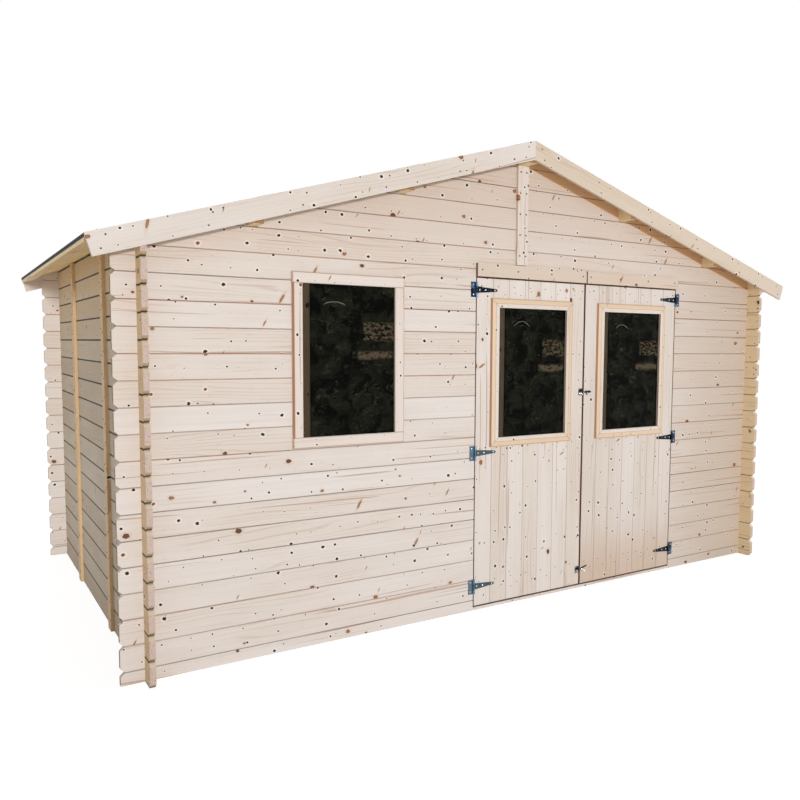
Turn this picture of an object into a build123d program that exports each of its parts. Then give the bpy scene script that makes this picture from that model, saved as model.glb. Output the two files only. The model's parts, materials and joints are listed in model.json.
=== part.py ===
from build123d import *
import os
from collections import namedtuple
from math import ceil, cos, radians, sin, tan

os.makedirs("parts", exist_ok=True)

# Garden shed of interlocking wall boards, in millimetres.
# Origin on the ground under the middle of the roof, +X to the right, front wall towards -Y.

# Walls
shed_width = 4000.0            # outer face to outer face of the side walls
shed_depth = 2440.0            # outer face to outer face of the front and rear walls
wall_thickness = 25.0
board_pitch = 112.0            # height of one wall board
side_board_count = 17          # full boards in a side wall
corner_overhang = 98.0         # board ends standing past the crossed wall
end_chamfer = 19.0             # corner cut from each board end
joint_groove = 3.0             # depth of the V between two boards, on both faces

# Roof, which ends flush with the board ends of the side walls
roof_slope_deg = 16.7
roof_gap = 7.0                 # from the side walls' top to the roof boards
roof_board_thickness = 12.0
roof_board_pitch = 95.0
roof_board_groove = 2.5        # depth of the V between two roof boards, underneath
eave_overhang = 204.0          # roof edge beyond a side wall
purlin_spacing = 755.0
purlin_width = 45.0
ridge_purlin_width = 60.0
purlin_height = 95.0           # at the middle of a purlin
bargeboard_width = 95.0
bargeboard_thickness = 16.0
bargeboard_upstand = 4.5       # its top edge above the roof boards
eave_batten_width = 70.0
eave_batten_thickness = 16.0
felt_thickness = 3.0
felt_drop = 12.0               # felt turned down over the eave edge
felt_course = 760.0            # width of a felt strip, measured level
felt_lap = 75.0                # overlap of two strips
ridge_cap = 150.0              # felt strip over the ridge, to each side

# Battens screwed to the walls
batten_width = 73.0
batten_thickness = 16.0
side_batten_inset = 695.0      # from a wall corner to the near edge of a side batten
gable_batten_gap = 4.0         # from the door head trim to the gable batten

# Doorway and doors
door_centre_x = 478.0
door_head_drop = 95.0          # from the side walls' top to the top of the doorway
leaf_width = 767.0
leaf_thickness = 18.0
leaf_bottom = 22.0
leaf_board_count = 7
leaf_groove = 2.0              # depth of the V between two door boards, on both faces
meeting_gap = 8.0              # between the two leaves
hinge_gap = 4.0                # between a leaf and the wall
head_gap = 6.0                 # between the leaves and the top of the doorway
sill_height = 15.0
jamb_size = 45.0
jamb_stop = 15.0               # part of a jamb that stands behind a leaf
head_trim_height = 69.0
head_trim_thickness = 16.0
head_trim_slot = 8.0           # open slot between the two head trims
ledge_height = 95.0
ledge_thickness = 19.0
ledge_inset = 40.0             # from a leaf's edge to its ledges

# Windows, measured at the visible glass
window_centre_x = -1034.0
window_drop = 178.0            # from the side walls' top to the window
window_width = 487.0
window_height = 718.0
door_window_drop = 155.0       # from a leaf's top to its window
door_window_width = 480.0
door_window_height = 705.0
casing_width = 50.0
casing_thickness = 15.0
casing_chamfer = 3.0           # on the flat casing of the fixed window
moulding_slope_width = 28.0    # outer slope of the door casings
moulding_slope_depth = 9.0
glass_thickness = 4.0
glass_rebate = 12.0            # hidden border of a pane behind its casing
glass_clearance = 1.0
inner_frame_proud = 12.0       # inner frame standing past the inner face

# Strap hinges
top_hinge_drop = 64.0          # from a leaf's top to the hinge's middle
bottom_hinge_rise = 110.0      # from a leaf's bottom to the hinge's middle
hinge_casing_gap = 10.5        # from the window casing down to the middle strap
hinge_plate_width = 34.0
hinge_plate_height = 80.0
strap_length = 138.0
strap_root = 35.0
strap_tip_radius = 7.0
hinge_sheet = 2.5
knuckle_radius = 6.0
pin_radius = 3.0
pin_clearance = 0.35
knuckle_clearance = 0.5

# Latches
lower_latch_rise = 90.0        # from a leaf's bottom
upper_latch_rise = 233.0       # from the bottom of a door window
latch_edge = 5.0               # from a leaf's free edge to its latch parts
latch_plate_width = 26.0
latch_plate_height = 40.0
latch_sheet = 2.5
latch_ring_radius = 10.0
latch_ring_hole = 6.0          # radius
latch_ring_height = 6.0
bolt_length = 50.0
bolt_width = 9.0
bolt_thickness = 6.0
handle_reach = 45.0
handle_rise = 14.0
handle_rod_radius = 3.5

# Places worked out from the sizes above
half_width = shed_width / 2
half_depth = shed_depth / 2
front_y = -half_depth
rear_y = half_depth - wall_thickness
end_x = half_width + corner_overhang
end_y = half_depth + corner_overhang
side_wall_top = side_board_count * board_pitch

roof_angle = radians(roof_slope_deg)
slope = tan(roof_angle)
ridge_under = side_wall_top + roof_gap + half_width * slope
roof_rise = roof_board_thickness / cos(roof_angle)
felt_rise = felt_thickness / cos(roof_angle)
eave_x = half_width + eave_overhang
roof_end_y = end_y
purlin_places = [side * n * purlin_spacing for side in (-1, 1) for n in (1, 2)]

doorway_top = side_wall_top - door_head_drop
doorway_width = 2 * leaf_width + meeting_gap + 2 * hinge_gap
doorway_left = door_centre_x - doorway_width / 2
doorway_right = door_centre_x + doorway_width / 2
head_trim_top = doorway_top + head_trim_height
leaf_top = doorway_top - head_gap

# The front and rear walls start with half a board, the side walls with a full one
front_joints = [(n + 0.5) * board_pitch for n in range(ceil(ridge_under / board_pitch))]
side_joints = [n * board_pitch for n in range(side_board_count + 1)]
gable_start = (ceil(doorway_top / board_pitch - 0.5) + 0.5) * board_pitch

Opening = namedtuple("Opening", "centre_x bottom width height")


def front_plane(y):
    """Sketch plane facing the front, with X to the right and Z up."""
    return Plane.XZ.offset(-y)


def side_plane(x):
    """Sketch plane facing the right side, with Y to the right and Z up."""
    return Plane.YZ.offset(x)


def roof_under(x):
    """Height of the roof boards' underside at a distance from the ridge."""
    return ridge_under - abs(x) * slope


def roof_top(x):
    """Height of the roof boards' top face."""
    return roof_under(x) + roof_rise


def bordered(opening, border, mode=Mode.ADD):
    """Rectangle in the open sketch, larger than an opening by a border all round."""
    with Locations((opening.centre_x, opening.bottom + opening.height / 2)):
        Rectangle(opening.width + 2 * border, opening.height + 2 * border, mode=mode)


def save(piece, name):
    """Label a finished piece and write it as its own file."""
    piece.part.label = name
    export_step(piece.part, f"parts/{name}.step")


# Front and rear walls

def crossing_wall(outline, y):
    """Wall piece of V-jointed boards, slotted where the side walls' boards pass through it."""
    slots = [(side * (half_width - wall_thickness / 2), z + board_pitch / 2)
             for side in (-1, 1) for z in side_joints[:-1]]
    notches = [(side * end_x, z) for side in (-1, 1) for z in front_joints]
    with BuildPart() as wall:
        with BuildSketch(side_plane(-end_x)):
            with Locations((y + wall_thickness / 2, ridge_under / 2)):
                Rectangle(wall_thickness, ridge_under)
            with Locations(*((face, z) for face in (y, y + wall_thickness) for z in front_joints)):
                RegularPolygon(joint_groove, 4, mode=Mode.SUBTRACT)
        extrude(amount=2 * end_x)
        with BuildSketch(front_plane(y)):
            Polygon(*outline, align=None)
        extrude(amount=-wall_thickness, mode=Mode.INTERSECT)
        with BuildSketch(front_plane(y)):
            with Locations(*slots):
                Rectangle(wall_thickness, board_pitch / 2)
            with Locations(*notches):
                RegularPolygon(end_chamfer, 4)
        extrude(amount=-wall_thickness, mode=Mode.SUBTRACT)
    return wall


def windowed(wall, opening):
    """The same wall piece with a window hole cut through it."""
    with BuildPart() as cut_wall:
        add(wall.part)
        with BuildSketch(front_plane(front_y)):
            bordered(opening, glass_rebate)
        extrude(amount=-wall_thickness, mode=Mode.SUBTRACT)
    return cut_wall


def gable(y, lintel):
    """Top of the front or rear wall, cut to the roof slope and notched for the purlins."""
    sloped_top = [(end_x, gable_start), (end_x, roof_under(end_x)), (0, ridge_under),
                  (-end_x, roof_under(end_x)), (-end_x, gable_start)]
    with BuildPart() as piece:
        add(crossing_wall(sloped_top + lintel, y).part)
        with BuildSketch(front_plane(y)):
            with Locations((0, ridge_under - purlin_height / 2)):
                Rectangle(ridge_purlin_width, purlin_height)
            with Locations(*((x, roof_under(x)) for x in purlin_places)):
                Rectangle(purlin_width, 2 * purlin_height)
        extrude(amount=-wall_thickness, mode=Mode.SUBTRACT)
    return piece


def wall_outline(left, right):
    """Outline of a wall piece that stands on the ground and ends where the gable starts."""
    return [(left, 0), (right, 0), (right, gable_start), (left, gable_start)]


window = Opening(window_centre_x, side_wall_top - window_drop - window_height, window_width, window_height)
lintel = [(doorway_left, gable_start), (doorway_left, doorway_top),
          (doorway_right, doorway_top), (doorway_right, gable_start)]
save(windowed(crossing_wall(wall_outline(-end_x, doorway_left), front_y), window), "front_wall_left")
save(crossing_wall(wall_outline(doorway_right, end_x), front_y), "front_wall_right")
save(gable(front_y, lintel), "front_gable")
save(crossing_wall(wall_outline(-end_x, end_x), rear_y), "rear_wall")
save(gable(rear_y, []), "rear_gable")


# Side walls, whose boards cross the front and rear walls half a board higher

def side_wall(x):
    """Side wall of V-jointed boards, slotted where the front and rear walls' boards pass."""
    slots = [(end * (half_depth - wall_thickness / 2), z) for end in (-1, 1) for z in side_joints]
    notches = [(end * end_y, z) for end in (-1, 1) for z in side_joints]
    with BuildPart() as wall:
        with BuildSketch(front_plane(-end_y)):
            with Locations((x + wall_thickness / 2, side_wall_top / 2)):
                Rectangle(wall_thickness, side_wall_top)
            with Locations(*((face, z) for face in (x, x + wall_thickness) for z in side_joints[1:-1])):
                RegularPolygon(joint_groove, 4, mode=Mode.SUBTRACT)
        extrude(amount=-2 * end_y)
        with BuildSketch(side_plane(x)):
            with Locations(*slots):
                Rectangle(wall_thickness, board_pitch / 2)
            with Locations(*notches):
                RegularPolygon(end_chamfer, 4)
        extrude(amount=wall_thickness, mode=Mode.SUBTRACT)
    return wall


save(side_wall(-half_width), "left_wall")
save(side_wall(half_width - wall_thickness), "right_wall")


# Battens that hold the boards together

def side_battens(x):
    """Two upright battens screwed to a side wall's outer face."""
    place = half_depth - side_batten_inset - batten_width / 2
    with BuildPart() as battens:
        with BuildSketch(side_plane(x)):
            with Locations((-place, side_wall_top / 2), (place, side_wall_top / 2)):
                Rectangle(batten_width, side_wall_top)
        extrude(amount=batten_thickness)
    return battens


save(side_battens(-half_width - batten_thickness), "left_wall_battens")
save(side_battens(half_width), "right_wall_battens")

with BuildPart() as gable_battens:
    batten_bottom = head_trim_top + gable_batten_gap
    batten_height = ridge_under - purlin_height - batten_bottom
    for y in (front_y - batten_thickness, half_depth):
        with BuildSketch(front_plane(y)):
            with Locations((0, batten_bottom + batten_height / 2)):
                Rectangle(batten_width, batten_height)
        extrude(amount=-batten_thickness)
save(gable_battens, "gable_battens")


# Purlins, with their tops cut to the slope

with BuildPart() as ridge_purlin:
    side_x = ridge_purlin_width / 2
    with BuildSketch(front_plane(-roof_end_y)):
        Polygon((-side_x, ridge_under - purlin_height), (side_x, ridge_under - purlin_height),
                (side_x, roof_under(side_x)), (0, ridge_under), (-side_x, roof_under(side_x)), align=None)
    extrude(amount=-2 * roof_end_y)
save(ridge_purlin, "ridge_purlin")

with BuildPart() as side_purlins:
    for x in purlin_places:
        low, high = x - purlin_width / 2, x + purlin_width / 2
        bottom = roof_under(x) - purlin_height
        with BuildSketch(front_plane(-roof_end_y)):
            Polygon((low, bottom), (high, bottom), (high, roof_under(high)), (low, roof_under(low)),
                    align=None)
        extrude(amount=-2 * roof_end_y)
save(side_purlins, "side_purlins")


# Roof, one slope at a time

def sloped_band(side, near, far, base, thickness):
    """Band in the open sketch that follows one slope, from a base height up."""
    Polygon((side * near, base(near)), (side * far, base(far)), (side * far, base(far) + thickness),
            (side * near, base(near) + thickness), align=None)


def roof_boards(side):
    """Boards that run from the ridge to the eave, with V joints underneath."""
    down_slope = Plane(origin=(0, 0, ridge_under), x_dir=(0, 1, 0),
                       z_dir=(side * cos(roof_angle), 0, -sin(roof_angle)))
    joint_count = int(roof_end_y // roof_board_pitch)
    with BuildPart() as boards:
        with BuildSketch(front_plane(-roof_end_y)):
            sloped_band(side, 0, eave_x, roof_under, roof_rise)
        extrude(amount=-2 * roof_end_y)
        with BuildSketch(down_slope):
            with Locations(*((n * roof_board_pitch, 0) for n in range(-joint_count, joint_count + 1))):
                RegularPolygon(roof_board_groove, 4)
        extrude(amount=(eave_x + roof_rise) / cos(roof_angle), mode=Mode.SUBTRACT)
    return boards


def felt(side):
    """Lapped felt strips between the bargeboards, turned down over the eave."""
    outer = eave_x + felt_thickness
    lip_bottom = roof_top(eave_x) - felt_drop

    def felt_top(x):
        return roof_top(x) + felt_rise

    with BuildPart() as sheet:
        with BuildSketch(front_plane(-roof_end_y)):
            sloped_band(side, 0, outer, roof_top, felt_rise)
            sloped_band(side, 0, ridge_cap, felt_top, felt_rise)
            for n in range(1, int(eave_x // felt_course) + 1):
                sloped_band(side, n * felt_course - felt_lap, n * felt_course, felt_top, felt_rise)
            Polygon((side * eave_x, lip_bottom), (side * outer, lip_bottom),
                    (side * outer, roof_top(outer)), (side * eave_x, roof_top(eave_x)), align=None)
        extrude(amount=-2 * roof_end_y)
    return sheet


def eave_batten(side):
    """Batten under the lower edge of the roof boards."""
    rise = eave_batten_thickness / cos(roof_angle)
    with BuildPart() as batten:
        with BuildSketch(front_plane(-roof_end_y)):
            sloped_band(side, eave_x - eave_batten_width, eave_x, roof_under, -rise)
        extrude(amount=-2 * roof_end_y)
    return batten


def bargeboard(side, y):
    """Gable edge board, mitred at the ridge and cut square at the eave."""
    outer = eave_x + felt_thickness
    foot = outer - bargeboard_width * sin(roof_angle)
    drop = bargeboard_width / cos(roof_angle)

    def edge(x):
        return roof_top(x) + bargeboard_upstand

    with BuildPart() as board:
        with BuildSketch(front_plane(y)):
            Polygon((0, edge(0)), (side * outer, edge(outer)), (side * foot, edge(foot) - drop),
                    (0, edge(0) - drop), align=None)
        extrude(amount=-bargeboard_thickness)
    return board


for side, hand in ((-1, "left"), (1, "right")):
    save(roof_boards(side), f"roof_boards_{hand}")
    save(felt(side), f"felt_{hand}")
    save(eave_batten(side), f"eave_batten_{hand}")
    save(bargeboard(side, -roof_end_y - bargeboard_thickness), f"bargeboard_front_{hand}")
    save(bargeboard(side, roof_end_y), f"bargeboard_rear_{hand}")


# Door surround

def jamb(x, inward):
    """Upright post behind the wall boards' ends, which a leaf closes against."""
    centre = x + inward * (jamb_stop - jamb_size / 2)
    with BuildPart() as post:
        with BuildSketch(front_plane(front_y + wall_thickness)):
            with Locations((centre, doorway_top / 2)):
                Rectangle(jamb_size, doorway_top)
        extrude(amount=-jamb_size)
    return post


save(jamb(doorway_left, 1), "door_jamb_left")
save(jamb(doorway_right, -1), "door_jamb_right")

with BuildPart() as door_sill:
    with BuildSketch(front_plane(front_y)):
        with Locations((door_centre_x, sill_height / 2)):
            Rectangle(doorway_width, sill_height)
    extrude(amount=-wall_thickness)
save(door_sill, "door_sill")

with BuildPart() as door_head:
    with BuildSketch(front_plane(front_y + wall_thickness)):
        with Locations((door_centre_x, doorway_top + jamb_size / 2)):
            Rectangle(doorway_width + 2 * (jamb_size - jamb_stop), jamb_size)
    extrude(amount=-jamb_size)
save(door_head, "door_head")

with BuildPart() as door_head_trims:
    trim_width = (doorway_width - head_trim_slot) / 2
    trim_offset = (trim_width + head_trim_slot) / 2
    with BuildSketch(front_plane(front_y - head_trim_thickness)):
        with Locations((door_centre_x - trim_offset, doorway_top + head_trim_height / 2),
                       (door_centre_x + trim_offset, doorway_top + head_trim_height / 2)):
            Rectangle(trim_width, head_trim_height)
    extrude(amount=-head_trim_thickness)
save(door_head_trims, "door_head_trims")


# Windows

def casing_ring(opening):
    """Square-edged window frame lying on the front face."""
    with BuildPart() as ring:
        with BuildSketch(front_plane(front_y)):
            bordered(opening, casing_width)
            bordered(opening, 0, mode=Mode.SUBTRACT)
        extrude(amount=casing_thickness)
    return ring


def flat_casing(opening):
    """Casing with its front edges lightly chamfered."""
    with BuildPart() as frame:
        add(casing_ring(opening).part)
        chamfer(frame.faces().sort_by(Axis.Y)[0].edges(), casing_chamfer)
    return frame


def moulded_casing(opening):
    """Casing whose outer part slopes back to a thin edge, mitred at the corners."""
    with BuildPart() as frame:
        add(casing_ring(opening).part)
        front = frame.faces().sort_by(Axis.Y)[0]
        chamfer(front.outer_wire().edges(), moulding_slope_width, moulding_slope_depth, reference=front)
    return frame


def pane(opening):
    """Glass behind a casing."""
    with BuildPart() as glass:
        with BuildSketch(front_plane(front_y)):
            bordered(opening, glass_rebate - glass_clearance)
        extrude(amount=-glass_thickness)
    return glass


def inner_frame(opening, depth):
    """Frame in the window hole that holds the glass from behind."""
    with BuildPart() as frame:
        with BuildSketch(front_plane(front_y + glass_thickness)):
            bordered(opening, glass_rebate)
            bordered(opening, 0, mode=Mode.SUBTRACT)
        extrude(amount=glass_thickness - depth - inner_frame_proud)
    return frame


save(flat_casing(window), "window_casing")
save(pane(window), "window_glass")
save(inner_frame(window, wall_thickness), "window_inner_frame")


# Hinges: the plates on the wall carry the pins, the straps on the leaves turn on them

door_window_bottom = leaf_top - door_window_drop - door_window_height
hinge_heights = (leaf_bottom + bottom_hinge_rise,
                 door_window_bottom - casing_width - hinge_casing_gap - strap_root / 2,
                 leaf_top - top_hinge_drop)
pivot_y = front_y - knuckle_radius
left_pivot_x = doorway_left + hinge_gap / 2
right_pivot_x = doorway_right - hinge_gap / 2
outer_knuckle = (hinge_plate_height - strap_root) / 2 - knuckle_clearance


def knuckle(pivot_x, towards, middle, length, bore=0):
    """Rolled sheet round a pin, joined to the sheet on one side of it."""
    with BuildPart() as roll:
        with BuildSketch(Plane.XY.offset(middle - length / 2)):
            with Locations((pivot_x, pivot_y)):
                Circle(knuckle_radius)
            with Locations((pivot_x + towards * knuckle_radius, front_y - hinge_sheet / 2)):
                Rectangle(2 * knuckle_radius, hinge_sheet)
            if bore:
                with Locations((pivot_x, pivot_y)):
                    Circle(bore, mode=Mode.SUBTRACT)
        extrude(amount=length)
    return roll.part


with BuildPart() as hinge_plates:
    for pivot_x, away in ((left_pivot_x, -1), (right_pivot_x, 1)):
        for z in hinge_heights:
            with BuildSketch(front_plane(front_y)):
                with Locations((pivot_x + away * (hinge_plate_width + knuckle_radius) / 2, z)):
                    Rectangle(hinge_plate_width - knuckle_radius, hinge_plate_height)
            extrude(amount=hinge_sheet)
            for end in (-1, 1):
                add(knuckle(pivot_x, away, z + end * (hinge_plate_height - outer_knuckle) / 2, outer_knuckle))
            with BuildSketch(Plane.XY.offset(z - hinge_plate_height / 2)):
                with Locations((pivot_x, pivot_y)):
                    Circle(pin_radius)
            extrude(amount=hinge_plate_height)
save(hinge_plates, "hinge_plates")


def hinge_straps(pivot_x, into):
    """Three tapered straps with round tips, each with a knuckle that turns on a fixed pin."""
    root_x = pivot_x + into * knuckle_radius
    tip_x = pivot_x + into * (strap_length - strap_tip_radius)
    with BuildPart() as straps:
        for z in hinge_heights:
            with BuildSketch(front_plane(front_y)):
                Polygon((root_x, z - strap_root / 2), (tip_x, z - strap_tip_radius),
                        (tip_x, z + strap_tip_radius), (root_x, z + strap_root / 2), align=None)
                with Locations((tip_x, z)):
                    Circle(strap_tip_radius)
            extrude(amount=hinge_sheet)
            add(knuckle(pivot_x, into, z, strap_root, bore=pin_radius + pin_clearance))
    return straps


# Latches: ringed plates on the left leaf, a bolt and a curved handle on the right leaf

upper_latch_z = door_window_bottom + upper_latch_rise
lower_latch_z = leaf_bottom + lower_latch_rise


def latch_plates(free_edge, into):
    """Two plates with a ring on the side of the other leaf."""
    plate_x = free_edge - into * (latch_edge + latch_plate_width / 2)
    ring_x = free_edge - into * (latch_edge + latch_ring_radius)
    with BuildPart() as plates:
        for z in (lower_latch_z, upper_latch_z):
            with BuildSketch(front_plane(front_y)):
                with Locations((plate_x, z)):
                    Rectangle(latch_plate_width, latch_plate_height)
            extrude(amount=latch_sheet)
            with BuildSketch(front_plane(front_y - latch_sheet)):
                with Locations((ring_x, z)):
                    Circle(latch_ring_radius)
                    Circle(latch_ring_hole, mode=Mode.SUBTRACT)
            extrude(amount=latch_ring_height)
    return plates


def bolt_and_handle(free_edge, into):
    """Round-ended bolt at the upper latch, and a curved handle on a small plate at the lower one."""
    near = free_edge - into * latch_edge
    with BuildPart() as fittings:
        with BuildSketch(front_plane(front_y)):
            with Locations((near - into * bolt_length / 2, upper_latch_z)):
                SlotOverall(bolt_length, bolt_width)
        extrude(amount=bolt_thickness)
        with BuildSketch(front_plane(front_y)):
            with Locations((near - into * latch_ring_radius, lower_latch_z)):
                Circle(latch_ring_radius)
        extrude(amount=latch_sheet)
        start = (near - into * latch_ring_radius, lower_latch_z)
        end = (near - into * handle_reach, lower_latch_z + handle_rise)
        middle = ((start[0] + end[0]) / 2, end[1] - handle_rod_radius)
        with BuildLine(front_plane(front_y - handle_rod_radius)):
            bend = ThreePointArc(start, middle, end)
        with BuildSketch(Plane(origin=bend @ 0, z_dir=bend % 0)):
            Circle(handle_rod_radius)
        sweep(path=bend)
    return fittings


# Doors

def leaf_boards(opening):
    """Upright V-jointed boards with the window hole cut through them."""
    board_width = leaf_width / leaf_board_count
    first_joint = opening.centre_x - leaf_width / 2 + board_width
    joints = [first_joint + n * board_width for n in range(leaf_board_count - 1)]
    with BuildPart() as boards:
        with BuildSketch(Plane.XY.offset(leaf_bottom)):
            with Locations((opening.centre_x, front_y + leaf_thickness / 2)):
                Rectangle(leaf_width, leaf_thickness)
            with Locations(*((x, face) for x in joints for face in (front_y, front_y + leaf_thickness))):
                RegularPolygon(leaf_groove, 4, mode=Mode.SUBTRACT)
        extrude(amount=leaf_top - leaf_bottom)
        with BuildSketch(front_plane(front_y)):
            bordered(opening, glass_rebate)
        extrude(amount=-leaf_thickness, mode=Mode.SUBTRACT)
    return boards


def ledges(centre_x):
    """Cross boards that hold the upright boards together from behind."""
    with BuildPart() as boards:
        with BuildSketch(front_plane(front_y + leaf_thickness)):
            with Locations(*((centre_x, z) for z in hinge_heights)):
                Rectangle(leaf_width - 2 * ledge_inset, ledge_height)
        extrude(amount=-ledge_thickness)
    return boards


def door(hand, pivot_x, into, latch_parts):
    """One leaf with its ledges, window and fittings; into points from the hinges over the leaf."""
    near_edge = pivot_x + into * hinge_gap / 2
    centre_x = near_edge + into * leaf_width / 2
    opening = Opening(centre_x, door_window_bottom, door_window_width, door_window_height)
    save(leaf_boards(opening), f"{hand}_door_boards")
    save(ledges(centre_x), f"{hand}_door_ledges")
    save(moulded_casing(opening), f"{hand}_door_casing")
    save(pane(opening), f"{hand}_door_glass")
    save(inner_frame(opening, leaf_thickness), f"{hand}_door_inner_frame")
    save(hinge_straps(pivot_x, into), f"{hand}_hinge_straps")
    save(latch_parts(near_edge + into * leaf_width, into), f"{hand}_door_latches")


door("left", left_pivot_x, 1, latch_plates)
door("right", right_pivot_x, -1, bolt_and_handle)
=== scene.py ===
"""Finishes the garden shed: timber, felt, glass and zinc, with its screws, nails and small fittings."""

import json
import logging
import math
import random
from collections.abc import Callable, Iterable, Iterator, Sequence
from contextlib import contextmanager
from dataclasses import dataclass
from enum import Enum

import bmesh
import bpy
from mathutils import Matrix, Vector

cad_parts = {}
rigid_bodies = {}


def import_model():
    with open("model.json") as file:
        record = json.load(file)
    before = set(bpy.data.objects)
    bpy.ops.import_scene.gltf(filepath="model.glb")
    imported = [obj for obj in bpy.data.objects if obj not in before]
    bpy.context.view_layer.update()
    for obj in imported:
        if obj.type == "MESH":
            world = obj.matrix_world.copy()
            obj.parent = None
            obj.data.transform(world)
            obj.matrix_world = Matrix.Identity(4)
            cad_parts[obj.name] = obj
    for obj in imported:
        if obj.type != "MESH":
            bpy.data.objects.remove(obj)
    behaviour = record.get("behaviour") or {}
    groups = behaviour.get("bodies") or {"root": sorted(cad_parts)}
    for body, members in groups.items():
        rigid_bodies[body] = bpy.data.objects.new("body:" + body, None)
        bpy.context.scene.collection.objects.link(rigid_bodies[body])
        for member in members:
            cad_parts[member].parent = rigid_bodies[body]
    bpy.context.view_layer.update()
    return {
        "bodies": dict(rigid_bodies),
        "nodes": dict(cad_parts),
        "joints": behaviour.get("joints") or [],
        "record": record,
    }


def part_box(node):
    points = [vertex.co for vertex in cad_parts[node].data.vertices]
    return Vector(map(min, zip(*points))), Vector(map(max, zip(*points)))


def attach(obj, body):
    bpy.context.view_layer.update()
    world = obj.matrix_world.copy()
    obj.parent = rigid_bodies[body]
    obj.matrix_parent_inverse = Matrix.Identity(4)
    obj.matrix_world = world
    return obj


log = logging.getLogger("garden_shed")

Colour = tuple[float, float, float, float]
WHITE: Colour = (1.0, 1.0, 1.0, 1.0)


def tone(red: int, green: int, blue: int) -> Colour:
    """Turns a display colour into a linear one.

    Args:
        red: Red, 0 to 255.
        green: Green, 0 to 255.
        blue: Blue, 0 to 255.

    Returns:
        The linear colour with full alpha.
    """
    def linear(level: int) -> float:
        """Linear value of one channel."""
        part = level / 255
        return part / 12.92 if part <= 0.04045 else ((part + 0.055) / 1.055) ** 2.4

    return linear(red), linear(green), linear(blue), 1.0


# Shader expressions


class Wire:
    """One output of a node, which takes part in Python expressions."""

    def __init__(self, graph: "Graph", socket: bpy.types.NodeSocket) -> None:
        """Wraps a socket of a graph."""
        self.graph = graph
        self.socket = socket

    def out(self, name: str) -> "Wire":
        """Another output of the same node."""
        return Wire(self.graph, self.socket.node.outputs[name])

    def math(self, operation: str, *others: "Wire | float") -> "Wire":
        """Adds a Math node.

        Args:
            operation: The node's operation.
            others: The values that follow this one.

        Returns:
            The result.
        """
        return self.graph.node("ShaderNodeMath", {"operation": operation}, dict(enumerate((self, *others))))

    def __add__(self, other: "Wire | float") -> "Wire":
        """Sum."""
        return self.math("ADD", other)

    def __sub__(self, other: "Wire | float") -> "Wire":
        """Difference."""
        return self.math("SUBTRACT", other)

    def __rsub__(self, other: float) -> "Wire":
        """Difference from a number."""
        return (self * -1.0).math("ADD", other)

    def __mul__(self, other: "Wire | float") -> "Wire":
        """Product."""
        return self.math("MULTIPLY", other)

    def __truediv__(self, other: "Wire | float") -> "Wire":
        """Quotient."""
        return self.math("DIVIDE", other)

    def floor(self) -> "Wire":
        """Whole part."""
        return self.math("FLOOR")

    def size(self) -> "Wire":
        """Value without its sign."""
        return self.math("ABSOLUTE")

    def wave(self) -> "Wire":
        """Sine moved into 0 to 1."""
        return self.math("SINE") * 0.5 + 0.5

    def over(self, limit: "Wire | float") -> "Wire":
        """1 where the value is above a limit, otherwise 0."""
        return self.math("GREATER_THAN", limit)

    def step(self, low: "Wire | float", high: "Wire | float") -> "Wire":
        """Goes smoothly from 0 at one value to 1 at another.

        Args:
            low: The value that gives 0.
            high: The value that gives 1, which may be the smaller of the two.

        Returns:
            The mask.
        """
        return self.graph.node("ShaderNodeMapRange", {"interpolation_type": "SMOOTHSTEP"},
                               {"Value": self, "From Min": low, "From Max": high})

    def parts(self) -> tuple["Wire", "Wire", "Wire"]:
        """The three numbers of a vector or colour."""
        split = self.graph.node("ShaderNodeSeparateXYZ", {}, {"Vector": self})
        return split.out("X"), split.out("Y"), split.out("Z")


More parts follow.
